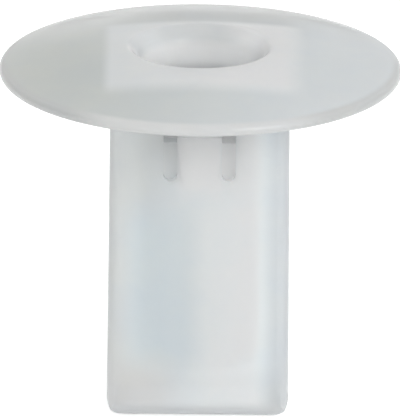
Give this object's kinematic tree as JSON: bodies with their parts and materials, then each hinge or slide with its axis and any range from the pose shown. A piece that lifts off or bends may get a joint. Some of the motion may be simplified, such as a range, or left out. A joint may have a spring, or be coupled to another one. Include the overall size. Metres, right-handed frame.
{
  "type": "expansion nut",
  "caption": "Snap-in plastic screw insert: domed round flange, hollow square shank with a blind screw hole, and spring tongues that catch behind a panel.",
  "frame": {"origin": "on the screw axis, in the plane where the flange's seat meets the panel", "axes": "+Z along the screw axis, out of the mouth of the screw hole; -Y towards the front tongue"},
  "size_m": [0.018, 0.018, 0.0164],
  "materials": {
    "natural_nylon": "satin, translucent milky white"
  },
  "bodies": {
    "root": {"expansion_nut": "natural_nylon"}
  },
  "joints": []
}
